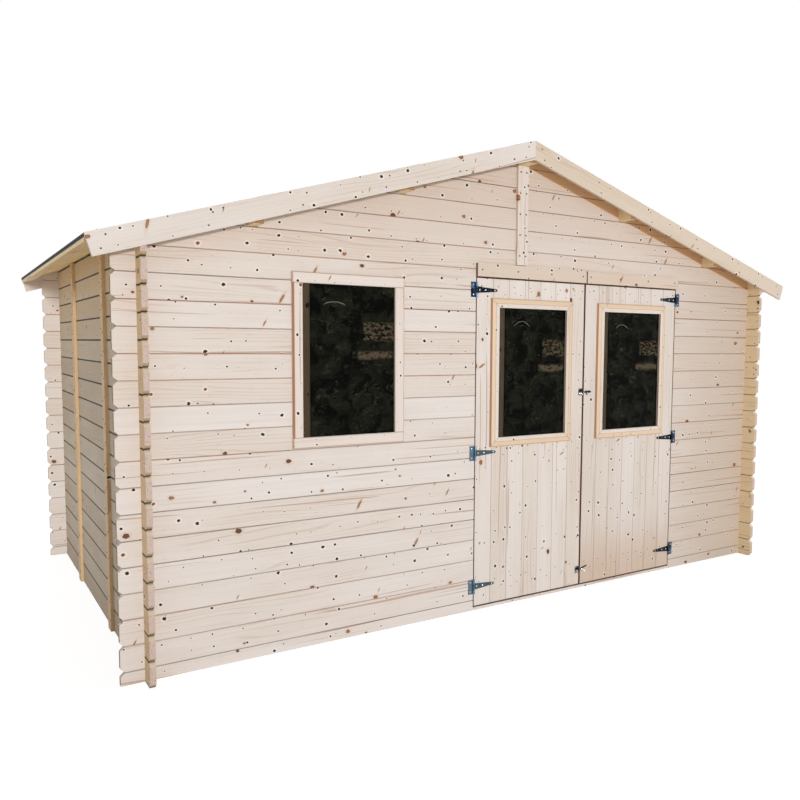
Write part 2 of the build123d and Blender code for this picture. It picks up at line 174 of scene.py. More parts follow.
class Graph:
    """The node tree of one material, or of the world."""

    def __init__(self, name: str, world: bool = False) -> None:
        """Makes an empty material or world with that name."""
        self.owner = (bpy.data.worlds if world else bpy.data.materials).new(name)
        self.owner.use_nodes = True
        self.tree = self.owner.node_tree
        self.tree.nodes.clear()

    def node(self, kind: str, settings: dict[str, object], inputs: dict[str | int, object],
             output: str | int = 0) -> Wire:
        """Adds a node.

        Args:
            kind: The node's type.
            settings: Its properties, set before its sockets.
            inputs: Wires or values by socket name or number.
            output: The output that is handed back.

        Returns:
            The wire of that output.
        """
        made = self.tree.nodes.new(kind)
        for name, value in settings.items():
            setattr(made, name, value)
        for key, value in inputs.items():
            if isinstance(value, Wire):
                self.tree.links.new(value.socket, made.inputs[key])
            else:
                made.inputs[key].default_value = value
        return Wire(self, made.outputs[output])

    def mix(self, factor: Wire | float, first: Wire | Colour, second: Wire | Colour) -> Wire:
        """Blends two colours.

        Args:
            factor: 0 for the first, 1 for the second.
            first: A colour.
            second: Another colour.

        Returns:
            The blended colour.
        """
        return self.node("ShaderNodeMix", {"data_type": "RGBA"}, {0: factor, 6: first, 7: second}, 2)

    def vector(self, x: Wire | float, y: Wire | float, z: Wire | float = 0.0) -> Wire:
        """Joins three numbers."""
        return self.node("ShaderNodeCombineXYZ", {}, {"X": x, "Y": y, "Z": z})

    def noise(self, at: Wire, detail: float = 2.0, roughness: float = 0.5) -> Wire:
        """Smooth noise from about 0.2 to 0.8 at a point that is already scaled."""
        return self.node("ShaderNodeTexNoise", {"noise_dimensions": "3D"},
                         {"Vector": at, "Scale": 1.0, "Detail": detail, "Roughness": roughness})

    def cells(self, at: Wire) -> Wire:
        """Scattered points of one plane: the distance to the nearest one, with a random colour each."""
        return self.node("ShaderNodeTexVoronoi", {"voronoi_dimensions": "2D", "feature": "F1"},
                         {"Vector": at, "Scale": 1.0, "Randomness": 1.0}, "Distance")

    def chance(self, seed: Wire) -> Wire:
        """A random number from 0 to 1 for each value of a seed."""
        return self.node("ShaderNodeTexWhiteNoise", {"noise_dimensions": "1D"}, {"W": seed}, "Value")

    def place(self, turn: float = 0.0) -> tuple[Wire, Wire, Wire]:
        """Position on the piece in metres.

        Args:
            turn: Angle in radians by which the pattern is turned about the Y axis.

        Returns:
            The three coordinates.
        """
        at = self.node("ShaderNodeTexCoord", {}, {}, "Object")
        if turn:
            at = self.node("ShaderNodeMapping", {}, {"Vector": at, "Rotation": (0.0, turn, 0.0)})
        return at.parts()

    def facing(self) -> tuple[Wire, Wire, Wire]:
        """Direction that the surface faces, on the piece's own axes."""
        return self.node("ShaderNodeTexCoord", {}, {}, "Normal").parts()

    def seen(self) -> Wire:
        """1 for rays that end at the camera, also by a mirror or through glass, otherwise 0."""
        path = self.node("ShaderNodeLightPath", {}, {}, "Is Camera Ray")
        mirrored = path.math("MAXIMUM", path.out("Is Glossy Ray"))
        return mirrored.math("MAXIMUM", path.out("Is Transmission Ray"))

    def bump(self, height: Wire, depth: float, strength: float = 1.0) -> Wire:
        """Turns a height from 0 to 1 into relief of a depth in metres."""
        return self.node("ShaderNodeBump", {}, {"Height": height, "Distance": depth, "Strength": strength})

    def finish(self, **inputs: object) -> bpy.types.Material:
        """Ends the material in a Principled shader.

        Args:
            inputs: Its sockets, with underscores for the spaces in their names.

        Returns:
            The material.
        """
        shader = self.node("ShaderNodeBsdfPrincipled", {},
                           {name.replace("_", " "): value for name, value in inputs.items()})
        self.end(shader)
        return self.owner

    def end(self, shader: Wire) -> None:
        """Links a shader to the output."""
        kind = "World" if isinstance(self.owner, bpy.types.World) else "Material"
        output = self.tree.nodes.new(f"ShaderNodeOutput{kind}")
        self.tree.links.new(shader.socket, output.inputs["Surface"])


# Finishes


class Axis(Enum):
    """Direction on a piece."""

    X = 0
    Y = 1
    Z = 2


@dataclass(frozen=True)
class Spots:
    """Knots of one kind: their spacing, radius, share of the places, length for a width of 1, and lean."""

    cell: float
    radius: float
    share: float
    stretch: float = 1.0
    lean: float = 0.0


@dataclass(frozen=True)
class Knots:
    """Masks of scattered knots, and a random number for each knot."""

    core: Wire
    whole: Wire
    halo: Wire
    kind: Wire


@dataclass(frozen=True)
class Drift:
    """Change of colour from one place to another along one direction, which may be turned about Y."""

    axis: Axis
    first: float
    last: float
    colour: Colour
    strength: float = 0.8
    turn: float = 0.0

    def over(self, graph: Graph, colour: Wire) -> Wire:
        """Lays the change over a colour.

        Args:
            graph: The material's graph.
            colour: The colour so far.

        Returns:
            The new colour.
        """
        place = graph.place(self.turn)[self.axis.value]
        return graph.mix(place.step(self.first, self.last) * self.strength, colour, self.colour)


SMALL_KNOTS = Spots(0.066, 0.0078, 0.40, 1.12)
MEDIUM_KNOTS = Spots(0.190, 0.0125, 0.42, 1.3)
SPIKE_KNOTS = Spots(0.090, 0.0062, 0.20, 4.0, math.radians(60))


@dataclass(frozen=True)
class Timber:
    """Planed softwood boards with grain, knots, joints and end grain.

    Boards lie side by side from start, each as wide as board. Without a joint, the wood is one piece.
    """

    name: str
    along: Axis
    across: Axis
    board: float = 10.0
    start: float = -5.0
    pale: Colour = tone(231, 223, 217)
    warm: Colour = tone(223, 209, 197)
    line: Colour = tone(190, 166, 146)
    end: Colour = tone(220, 198, 182)
    end_line: Colour = tone(172, 132, 106)
    edge: Colour | None = None
    notched: bool = False
    joint: float = 1.0
    joint_reach: float = 0.0036
    joint_tones: tuple[Colour, Colour] = (tone(122, 104, 92), tone(152, 96, 60))
    knottiness: float = 1.0
    turn: float = 0.0
    drifts: tuple[Drift, ...] = ()
    seed: float = 0.0

    def layout(self, graph: Graph) -> tuple[Wire, Wire, Wire, Wire]:
        """Finds where a point lies in its board.

        Args:
            graph: The material's graph.

        Returns:
            The place along the grain, across it and through it, and the board's number.
        """
        place = graph.place(self.turn)
        through = next(axis for axis in Axis if axis not in (self.along, self.across))
        across = place[self.across.value]
        number = ((across - self.start) / self.board).floor()
        return place[self.along.value], across, place[through.value], number

    def knots(self, graph: Graph, spots: Spots, along: Wire, across: Wire, wobble: Wire) -> Knots:
        """Scatters knots of one kind.

        Args:
            graph: The material's graph.
            spots: Their spacing and size.
            along: Place along the grain, with the board's own offset.
            across: Place across the grain, with the board's own offset.
            wobble: Noise that makes their outlines uneven.

        Returns:
            Their masks.
        """
        if spots.lean:
            turned = along * math.cos(spots.lean) + across * math.sin(spots.lean)
            across = across * math.cos(spots.lean) - along * math.sin(spots.lean)
            along = turned
        cell = graph.cells(graph.vector(along / (spots.cell * spots.stretch), across / spots.cell))
        first, second, third = cell.out("Color").parts()
        radius = (first * first * 0.66 + 0.34) * (spots.radius / spots.cell)
        distance = cell + (wobble - 0.5) * radius * 0.9
        there = (second * -1.0).over(-spots.share * self.knottiness)
        return Knots(distance.step(radius * 0.80, radius * 0.50) * there,
                     distance.step(radius * 1.10, radius * 0.88) * there,
                     distance.step(radius * 2.5, radius) * there, third)

    def build(self) -> bpy.types.Material:
        """Makes the material.

        Returns:
            The finished material.
        """
        graph = Graph(self.name)
        along, across, through, number = self.layout(graph)
        lot = graph.chance(number * 1.37 + (self.seed + 0.31))
        other_lot = graph.chance(number * 2.91 + (self.seed + 41.7))
        own_along = along + lot * 61.0
        own_across = across + other_lot * 17.0
        wobble = graph.noise(graph.vector(own_along * 110.0, own_across * 140.0, through * 90.0), 1.0)

        small = self.knots(graph, SMALL_KNOTS, own_along, own_across, wobble)
        medium = self.knots(graph, MEDIUM_KNOTS, own_along + 5.3, own_across, wobble)
        spike = self.knots(graph, SPIKE_KNOTS, own_along + 3.1, own_across + 1.7, wobble)

        flow = graph.noise(graph.vector(own_along * 0.9, own_across * 9.0, through * 6.0), 1.5)
        rings = (flow * 44.0 + own_across * 300.0 + medium.halo * 6.0 + small.halo * 1.5).wave()
        fine = graph.noise(graph.vector(own_along * 7.0, own_across * 420.0, through * 300.0), 2.0)
        lines = graph.noise(graph.vector(own_along * 1.3, own_across * 130.0, through * 30.0), 1.0)
        fibres = graph.noise(graph.vector(own_along * 22.0, own_across * 200.0, through * 200.0),
                             1.0).step(0.66, 0.76)
        patch = graph.noise(graph.vector(own_along * 1.6, own_across * 7.0, through * 3.0), 2.0)
        resin = graph.noise(graph.vector(own_along * 1.1, own_across * 84.0 + flow * 4.0,
                                         through * 20.0), 0.0)
        crests = rings.step(0.86, 1.0) * (patch + lot * 0.16).step(0.54, 0.74)

        colour = graph.mix((lot * 0.5 + patch * 1.1 - 0.3).step(0.0, 1.0), self.pale, self.warm)
        for drift in self.drifts:
            colour = drift.over(graph, colour)
        colour = graph.mix(crests * 0.42 + (lines - 0.44) * 0.36 + (fine - 0.38) * 0.22, colour, self.line)
        colour = graph.mix(fibres * (lot * 0.22 + 0.10), colour, tone(160, 132, 112))
        colour = graph.mix(resin.step(0.765, 0.80) * 0.55, colour, tone(166, 118, 84))
        colour = graph.mix(medium.halo * 0.32, colour, tone(214, 176, 138))
        colour = graph.mix(small.halo * 0.60, colour, tone(246, 239, 230))
        colour = graph.mix(spike.halo * 0.30, colour, tone(196, 156, 118))
        colour = graph.mix(spike.whole * 0.85, colour, tone(118, 74, 44))
        colour = graph.mix(spike.core * 0.70, colour, tone(176, 122, 72))
        colour = graph.mix(medium.whole * 0.95, colour, tone(68, 34, 18))
        colour = graph.mix(medium.core * 0.95, colour,
                           graph.mix(medium.kind.step(0.30, 0.42), tone(98, 56, 32), tone(178, 112, 62)))
        colour = graph.mix(small.whole, colour,
                           graph.mix(small.kind.step(0.84, 0.88), tone(34, 16, 8), tone(140, 74, 42)))
        if self.joint:
            colour = self._joints(graph, colour, along, across, number)
        facing = graph.facing()
        if self.edge:
            colour = graph.mix(facing[self.across.value].size().step(0.8, 0.95) * 0.85, colour, self.edge)
        colour, cut = self._end_grain(graph, colour, facing, across, through, lot)
        if self.notched:
            colour = self._notches(graph, colour, facing, across)

        relief = fine * 0.5 + rings * 0.2 + fibres * -0.4 + small.whole * -0.6 + medium.whole * 0.4
        return graph.finish(
            Base_Color=colour,
            Roughness=fine * 0.25 + cut * 0.15 - medium.whole * 0.12 + 0.48,
            Specular_IOR_Level=0.35,
            Normal=graph.bump(relief, 0.0005, 0.8))

    def _joints(self, graph: Graph, colour: Wire, along: Wire, across: Wire, number: Wire) -> Wire:
        """Darkens the colour in the joints between boards.

        Args:
            graph: The material's graph.
            colour: The colour so far.
            along: Place along the grain.
            across: Place across the grain.
            number: The board's number.

        Returns:
            The new colour.
        """
        share = (across - self.start) / self.board - number
        reach = share.math("MINIMUM", 1.0 - share) * self.board
        line = ((across - self.start) / self.board + 0.5).floor()
        depth = graph.chance(line * 3.3 + (self.seed + 7.9))
        kind = graph.chance(line * 5.1 + (self.seed + 2.3))
        uneven = graph.noise(graph.vector(along * 4.0, line * 3.7), 3.0)
        brown = graph.mix((kind * 0.7 + uneven * 0.6).step(0.55, 0.75), *self.joint_tones)
        line = reach.step(self.joint_reach, self.joint_reach / 3)
        return graph.mix(line * (uneven * 0.6 + depth * 0.35 + 0.15) * self.joint, colour, brown)

    def _end_grain(self, graph: Graph, colour: Wire, facing: tuple[Wire, Wire, Wire], across: Wire,
                   through: Wire, lot: Wire) -> tuple[Wire, Wire]:
        """Puts growth rings on the sawn ends.

        Args:
            graph: The material's graph.
            colour: The colour so far.
            facing: Direction that the surface faces.
            across: Place across the board.
            through: Place through the board.
            lot: The board's random number.

        Returns:
            The new colour and the mask of the ends.
        """
        cut = facing[self.along.value].size().step(0.75, 0.92)
        deep = through + (lot * 0.09 + 0.03)
        wide = across + lot * 0.4
        waver = graph.noise(graph.vector(wide * 30.0, deep * 30.0), 2.0)
        flecks = graph.noise(graph.vector(wide * 90.0, deep * 260.0), 2.0).step(0.56, 0.70)
        rings = ((deep * deep + wide * wide * 0.05).math("SQRT") * 1900.0 + waver * 9.0).wave()
        ends = graph.mix(rings * 0.40 + waver * 0.2, self.end, self.end_line)
        ends = graph.mix(flecks * 0.55, ends, tone(96, 66, 48))
        return graph.mix(cut, colour, ends), cut

    def _notches(self, graph: Graph, colour: Wire, facing: tuple[Wire, Wire, Wire], across: Wire) -> Wire:
        """Paints shade on the cut corners that face down, most of all deep between two boards, and a
        painted highlight on those that face up.

        Args:
            graph: The material's graph.
            colour: The colour so far.
            facing: Direction that the surface faces.
            across: Place across the board.

        Returns:
            The new colour.
        """
        slant = (facing[self.along.value].size() * facing[self.across.value].size()).step(0.15, 0.35)
        share = ((across - self.start) / self.board + 0.5).math("FRACT") - 0.5
        deep = (share.size() * self.board).step(0.012, 0.004)
        upward = facing[self.across.value]
        colour = graph.mix(slant * upward.step(-0.1, -0.3) * (deep * 0.60 + 0.32), colour, tone(80, 50, 26))
        return graph.mix(slant * upward.step(0.1, 0.3) * 0.5, colour, tone(240, 228, 212))


@dataclass(frozen=True)
class LeafTimber(Timber):
    """Boards of a door leaf, with the gap's shade painted round their outline."""

    low: tuple[float, float] = (0.0, 0.0)
    high: tuple[float, float] = (1.0, 1.0)
    gap_shade: Colour = tone(92, 58, 38)

    def _joints(self, graph: Graph, colour: Wire, along: Wire, across: Wire, number: Wire) -> Wire:
        """Darkens the joints between boards, and paints the gap's shade along the outline of the leaf.

        Args:
            graph: The material's graph.
            colour: The colour so far.
            along: Place along the grain.
            across: Place across the grain.
            number: The board's number.

        Returns:
            The new colour.
        """
        colour = super()._joints(graph, colour, along, across, number)
        beside = (across - self.low[0]).math("MINIMUM", self.high[0] - across)
        above = (along - self.low[1]).math("MINIMUM", self.high[1] - along)
        return graph.mix(beside.math("MINIMUM", above).step(0.0036, 0.0018) * 0.9, colour, self.gap_shade)


class Corner(Enum):
    """How the members of a frame meet."""

    MITRED = "mitred"
    BUTTED = "butted"


@dataclass(frozen=True)
class FramedTimber(Timber):
    """Timber of a frame round an opening, whose grain runs along each of its four members."""

    centre: tuple[float, float] = (0.0, 0.0)
    opening: tuple[float, float] = (0.5, 0.7)
    width: float = 0.050
    corner: Corner = Corner.MITRED
    slope_from: float = 0.0

    def _reach(self, graph: Graph) -> tuple[Wire, Wire, Wire, Wire]:
        """How far a point lies outside the opening.

        Args:
            graph: The material's graph.

        Returns:
            The place along X, the distance beside the opening, the one above or below it, and the mask of
            the uprights.
        """
        x, _, z = graph.place()
        aside = (x - self.centre[0]).size() - self.opening[0] / 2
        above = (z - self.centre[1]).size() - self.opening[1] / 2
        upright = aside.over(above) if self.corner is Corner.MITRED else 1.0 - above.over(0.0)
        return x, aside, above, upright

    def layout(self, graph: Graph) -> tuple[Wire, Wire, Wire, Wire]:
        """Finds where a point lies in its member of the frame.

        Args:
            graph: The material's graph.

        Returns:
            The place along the grain, across it and through it, and the member's number.
        """
        x, y, z = graph.place()
        upright = self._reach(graph)[3]
        along = z * upright + x * (1.0 - upright)
        across = x * upright + z * (1.0 - upright)
        number = upright * 2.0 + across.over(
            upright * self.centre[0] + (1.0 - upright) * self.centre[1])
        return along, across, y, number

    def _joints(self, graph: Graph, colour: Wire, along: Wire, across: Wire, number: Wire) -> Wire:
        """Colours the sloped outer part and the corner joints, and paints shade along the outer edge, most
        of all on the left.

        Args:
            graph: The material's graph.
            colour: The colour so far.
            along: Place along the grain; not used.
            across: Place across the grain; not used.
            number: The member's number; not used.

        Returns:
            The new colour.
        """
        x, aside, above, upright = self._reach(graph)
        out = aside.math("MAXIMUM", above)
        if self.slope_from:
            colour = graph.mix(out.step(self.slope_from - 0.002, self.slope_from + 0.002) * 0.72,
                               colour, tone(230, 200, 162))
            crease = (out - self.slope_from).size().step(0.0026, 0.0008)
            colour = graph.mix(crease * 0.5, colour, tone(178, 128, 84))
        seam = aside - above if self.corner is Corner.MITRED else above
        joint = seam.size().step(0.0024, 0.0008) * aside.over(0.0) * above.over(-0.01)
        colour = graph.mix(joint * 0.7 * self.joint, colour, tone(140, 92, 54))
        # Painted shade along the outer edge, wider and stronger on the left upright.
        left = (x * -1.0).over(-self.centre[0]) * upright
        edge = (out + left * 0.0045).step(self.width - 0.0050, self.width - 0.0030) * (left * 0.35 + 0.55)
        return graph.mix(edge * self.joint, colour, tone(158, 96, 54))


@dataclass(frozen=True)
class RoofingFelt:
    """Black felt with fine mineral grains."""

    name: str = "roofing_felt"

    def build(self) -> bpy.types.Material:
        """Makes the material."""
        graph = Graph(self.name)
        x, y, z = graph.place()
        grains = graph.noise(graph.vector(x * 700.0, y * 700.0, z * 700.0), 2.0, 0.7)
        cloud = graph.noise(graph.vector(x * 2.2, y * 2.2, z * 2.2), 3.0)
        runs = graph.noise(graph.vector(x * 1.5, y * 22.0, 0.0), 2.0)
        colour = graph.mix(grains.step(0.35, 0.75), tone(19, 21, 21), tone(58, 60, 60))
        colour = graph.mix(cloud * runs * 0.5, colour, tone(88, 88, 84))
        return graph.finish(Base_Color=colour, Roughness=cloud * 0.15 + 0.8, Specular_IOR_Level=0.3,
                            Normal=graph.bump(grains, 0.0008, 0.9))


@dataclass(frozen=True)
class DarkGlass:
    """Clear pane before a dark inside, with faint painted reflections of a garden."""

    name: str
    low: tuple[float, float]
    high: tuple[float, float]
    stile: float

    def build(self) -> bpy.types.Material:
        """Makes the material."""
        graph = Graph(self.name)
        x, _, z = graph.place()
        over = (x - self.low[0]) / (self.high[0] - self.low[0])
        up = (z - self.low[1]) / (self.high[1] - self.low[1])
        sway = graph.noise(graph.vector(x * 12.0, z * 12.0, 5.0), 2.0)
        leaves = graph.noise(graph.vector(x * 13.0 + sway * 3.0, z * 10.0, 0.0), 3.0, 0.55)
        outlines = ((leaves * 7.0).math("FRACT") - 0.5).size().step(0.09, 0.02)
        painted_glints = graph.noise(graph.vector(x * 220.0, z * 220.0, 2.0), 1.0).step(0.70, 0.78)
        bars = graph.noise(graph.vector(x * 40.0 + z * 30.0, z * 70.0 - x * 12.0, 9.0), 3.0, 0.65)

        def block(left: float, right: float, bottom: float, top: float) -> Wire:
            """Soft rectangle in shares of the pane."""
            height = up + sway * 0.04
            return (over.step(left, left + 0.03) * over.step(right, right - 0.04)
                    * height.step(bottom, bottom + 0.025) * height.step(top, top - 0.025))

        hedge_reflection = block(0.64, 1.02, 0.64, 0.79) * bars.step(0.44, 0.60) + block(
            0.58, 1.00, 0.52, 0.59) * bars.step(0.34, 0.50)
        beside, above = over - 0.34, (up - 0.80) * 1.5
        ripple = (beside * beside + above * above).math("SQRT") * 19.0 + sway * 1.5
        arc_reflection = (ripple.math("FRACT") - 0.5).size().step(0.11, 0.02) * block(0.20, 0.48, 0.875, 0.935)
        # Painted reflections: the colours below paint a garden's leaves, hedge, arcs and glints onto the
        # dark pane.
        colour = graph.mix(leaves.step(0.38, 0.70), tone(3, 4, 2), tone(30, 32, 22))
        colour = graph.mix(outlines * sway.step(0.44, 0.60) * 0.50, colour, tone(66, 68, 54))
        colour = graph.mix(hedge_reflection * 0.60, colour, tone(108, 94, 74))
        colour = graph.mix(arc_reflection * 0.8, colour, tone(132, 134, 122))
        colour = graph.mix(painted_glints * sway.step(0.38, 0.55) * 0.55, colour, tone(150, 150, 134))
        behind = x.step(self.low[0] + self.stile + 0.002, self.low[0] + self.stile - 0.002)
        return graph.finish(Base_Color=colour, Roughness=leaves * 0.10 + 0.04, Specular_IOR_Level=0.04,
                            Alpha=0.93 - behind * 0.50)


class Plating(Enum):
    """Look of a metal part."""

    BLUE_ZINC = "blue_zinc"
    DARK_ZINC = "dark_zinc"
    BRIGHT_ZINC = "bright_zinc"
    DARK_STEEL = "dark_steel"
    CLOUT = "clout_nail_zinc"


PLATING_TONES: dict[Plating, tuple[Colour, Colour, float]] = {
    Plating.BLUE_ZINC: (tone(26, 36, 52), tone(96, 122, 152), 0.34),
    Plating.DARK_ZINC: (tone(22, 26, 33), tone(66, 77, 92), 0.38),
    Plating.BRIGHT_ZINC: (tone(222, 226, 230), tone(166, 172, 178), 0.22),
    Plating.DARK_STEEL: (tone(52, 42, 36), tone(86, 74, 62), 0.50),
    Plating.CLOUT: (tone(150, 152, 152), tone(108, 108, 106), 0.45),
}


@dataclass(frozen=True)
class Metal:
    """Zinc-plated or darkened steel with small stains."""

    plating: Plating
    drifts: tuple[Drift, ...] = ()

    def build(self) -> bpy.types.Material:
        """Makes the material."""
        graph = Graph(self.plating.value)
        main, worn, roughness = PLATING_TONES[self.plating]
        x, y, z = graph.place()
        cloud = graph.noise(graph.vector(x * 70.0, y * 70.0, z * 70.0), 3.0, 0.6)
        fine = graph.noise(graph.vector(x * 900.0, y * 900.0, z * 300.0), 2.0)
        for drift in self.drifts:
            main = drift.over(graph, main)
        colour = graph.mix(cloud.step(0.46, 0.64) * 0.85, main, worn)
        colour = graph.mix(fine.step(0.62, 0.8) * 0.3, colour, tone(80, 76, 70))
        return graph.finish(Base_Color=colour, Metallic=1.0, Roughness=cloud * 0.25 + (roughness - 0.1),
                            Normal=graph.bump(fine, 0.0001, 0.4))


# Modelling helpers


def deselect_all() -> None:
    """Leaves object mode with nothing selected."""
    if bpy.context.mode != "OBJECT":
        bpy.ops.object.mode_set(mode="OBJECT")
    bpy.ops.object.select_all(action="DESELECT")


def pick(piece: bpy.types.Object) -> None:
    """Makes a piece the only one selected, and active."""
    deselect_all()
    piece.select_set(True)
    bpy.context.view_layer.objects.active = piece


@contextmanager
def editing(piece: bpy.types.Object, kind: str = "FACE") -> Iterator[None]:
    """Opens a piece in edit mode.

    Args:
        piece: The piece.
        kind: "VERT" or "FACE", what is selected in it.

    Yields:
        Nothing; edit mode is left again at the end.
    """
    pick(piece)
    bpy.ops.object.mode_set(mode="EDIT")
    bpy.ops.mesh.select_mode(type=kind)
    bpy.ops.mesh.select_all(action="DESELECT")
    yield
    bpy.ops.object.mode_set(mode="OBJECT")


def select_faces(piece: bpy.types.Object, wanted: Callable[[bmesh.types.BMFace], bool]) -> None:
    """Selects the faces of the piece in edit mode that pass a test."""
    mesh = bmesh.from_edit_mesh(piece.data)
    for face in mesh.faces:
        face.select_set(wanted(face))
    mesh.select_flush_mode()
    bmesh.update_edit_mesh(piece.data)


def select_corners(piece: bpy.types.Object, wanted: Callable[[Vector], bool]) -> None:
    """Selects the vertices of the piece in edit mode whose places pass a test."""
    mesh = bmesh.from_edit_mesh(piece.data)
    for corner in mesh.verts:
        corner.select_set(wanted(corner.co))
    mesh.select_flush_mode()
    bmesh.update_edit_mesh(piece.data)


def settle(piece: bpy.types.Object) -> None:
    """Puts a piece's place, turn and size into its mesh."""
    pick(piece)
    bpy.ops.object.transform_apply(location=True, rotation=True, scale=True)


def soften(piece: bpy.types.Object, width: float) -> None:
    """Rounds a piece's sharp edges.

    Args:
        piece: The piece.
        width: Width of the rounding in metres.
    """
    pick(piece)
    bevel = piece.modifiers.new("soft_edges", "BEVEL")
    bevel.width = width
    bevel.segments = 2
    bevel.limit_method = "ANGLE"
    bpy.ops.object.modifier_apply(modifier=bevel.name)
    bpy.ops.object.shade_smooth_by_angle(angle=math.radians(35))


def joined(name: str, parts: list[bpy.types.Object]) -> bpy.types.Object:
    """Makes one object of several.

    Args:
        name: Its name.
        parts: The parts, of which the first takes in the others.

    Returns:
        The object, selected.
    """
    pick(parts[0])
    if len(parts) > 1:
        for part in parts:
            part.select_set(True)
        bpy.ops.object.join()
    parts[0].name = name
    return parts[0]


def turned_to(point: Vector, direction: Vector, roll: float) -> Matrix:
    """Placement of a head that lies on a surface.

    Args:
        point: Place on the surface.
        direction: Direction that the surface faces.
        roll: Turn about that direction in radians.

    Returns:
        The placement, which takes the head's +Z to that direction.
    """
    turn = Vector((0, 0, 1)).rotation_difference(direction).to_matrix().to_4x4()
    return Matrix.Translation(point) @ turn @ Matrix.Rotation(roll, 4, "Z")


Place = tuple[Sequence[float], Sequence[float]]


@dataclass(frozen=True)
class ScrewHead:
    """Countersunk head with a cross recess."""

    radius: float = 0.0042
    height: float = 0.0014
    recess: float = 0.0011
    proud: float = 0.0012
    sides: int = 12

    def model(self) -> bpy.types.Object:
        """Models one head in a surface at the origin.

        Returns:
            The head, whose top stands proud of the surface.
        """
        deselect_all()
        crown = self.height * 0.2
        bpy.ops.mesh.primitive_cylinder_add(vertices=self.sides, radius=self.radius, depth=self.height,
                                            location=(0, 0, self.proud - crown - self.height / 2),
                                            rotation=(0, 0, math.pi / self.sides))
        head = bpy.context.object
        settle(head)
        with editing(head):
            select_faces(head, lambda face: face.normal.z > 0.9)
            bpy.ops.mesh.inset(thickness=self.radius * 0.22, depth=crown)
            bpy.ops.mesh.inset(thickness=self.radius * 0.18, depth=0.0)
        with editing(head, "VERT"):
            inner = self.radius * 0.68
            select_corners(head, lambda at: (at.z > self.proud - crown / 2 and at.to_2d().length < inner
                                             and abs(abs(at.x) - abs(at.y)) < 1e-5))
            bpy.ops.transform.resize(value=(0.42, 0.42, 1.0))
        with editing(head):
            select_faces(head, lambda face: face.normal.z > 0.9 and len(face.verts) == self.sides)
            bpy.ops.mesh.extrude_region_move(TRANSFORM_OT_translate={"value": (0, 0, -self.recess)})
        return head


@dataclass(frozen=True)
class NailHead:
    """Round flat head with a bevelled rim."""

    radius: float = 0.0022
    height: float = 0.0008

    def model(self) -> bpy.types.Object:
        """Models one head that stands on the origin."""
        deselect_all()
        bpy.ops.mesh.primitive_cylinder_add(vertices=8, radius=self.radius, depth=self.height,
                                            location=(0, 0, self.height / 6))
        head = bpy.context.object
        settle(head)
        with editing(head):
            select_faces(head, lambda face: face.normal.z > 0.9)
            bpy.ops.mesh.inset(thickness=self.radius * 0.35, depth=self.height * 0.45)
        return head


@dataclass
class Fixings:
    """Screws or nails of one kind that are driven into one body."""

    head: ScrewHead | NailHead
    material: bpy.types.Material
    seed: int = 1

    def drive(self, name: str, body: str, places: Iterable[Place]) -> None:
        """Makes one piece of many heads.

        Args:
            name: Name of the piece.
            body: Body that it rides on.
            places: Points, each with the direction that the surface faces there.
        """
        dice = random.Random(self.seed)
        first = self.head.model()
        heads = []
        for point, direction in places:
            head = first.copy()
            head.data = first.data.copy()
            head.data.transform(turned_to(Vector(point), Vector(direction), dice.uniform(0, math.pi)))
            bpy.context.collection.objects.link(head)
            heads.append(head)
        bpy.data.objects.remove(first)
        finish_piece(joined(name, heads), self.material, body)


def finish_piece(piece: bpy.types.Object, material: bpy.types.Material, body: str) -> None:
    """Dresses a new piece and fixes it to its body.

    Args:
        piece: The piece, with its place in its mesh.
        material: Its finish.
        body: Body that it rides on.
    """
    piece.data.materials.clear()
    piece.data.materials.append(material)
    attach(piece, body)
    log.info("%s: %d faces on %s", piece.name, len(piece.data.polygons), body)


def dress(frame: dict, material: bpy.types.Material, *nodes: str) -> None:
    """Gives CAD nodes a finish.

    Args:
        material: The finish.
        nodes: Names of the nodes.
    """
    for name in nodes:
        node = frame["nodes"][name]
        if not node.material_slots:
            node.data.materials.append(material)
        for place in node.material_slots:
            place.material = material
        log.info("%s: %s", name, material.name)


def steps(first: float, last: float, count: int) -> list[float]:
    """Evenly spaced values, both ends among them."""
    return [first + (last - first) * n / (count - 1) for n in range(count)]


# Sub-assemblies


FRONT = Vector((0, -1, 0))
BACK = Vector((0, 1, 0))
ROOF_SLOPE = math.radians(16.7)
ROOF_HEIGHT = 2.511  # underside of the roof boards at the ridge
HINGE_HEIGHTS = (0.132, 0.865, 1.739)
HINGE_SHEET = 0.0025
LEFT_PIVOT, RIGHT_PIVOT = -0.295, 1.251


